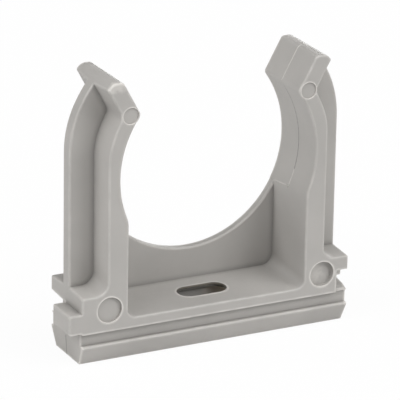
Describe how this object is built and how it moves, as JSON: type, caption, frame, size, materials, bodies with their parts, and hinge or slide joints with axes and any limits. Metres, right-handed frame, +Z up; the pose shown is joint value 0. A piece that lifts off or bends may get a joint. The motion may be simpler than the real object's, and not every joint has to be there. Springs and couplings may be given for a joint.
{
  "type": "conduit clip",
  "caption": "Open-top snap-in clip for round conduit, with sprung arms and hooked noses over a webbed base that slides on a rail or takes a screw.",
  "frame": {"origin": "middle of the underside of the foot, under the centre of the bounding box", "axes": "+X along the base towards the socket that opens at the front, -Y out of the open front face along the bore, +Z up through the mouth between the noses"},
  "size_m": [0.0754, 0.0172, 0.0672],
  "materials": {
    "moulded_plastic": "fine matte"
  },
  "bodies": {
    "root": {"clip_body": "moulded_plastic"}
  },
  "joints": []
}
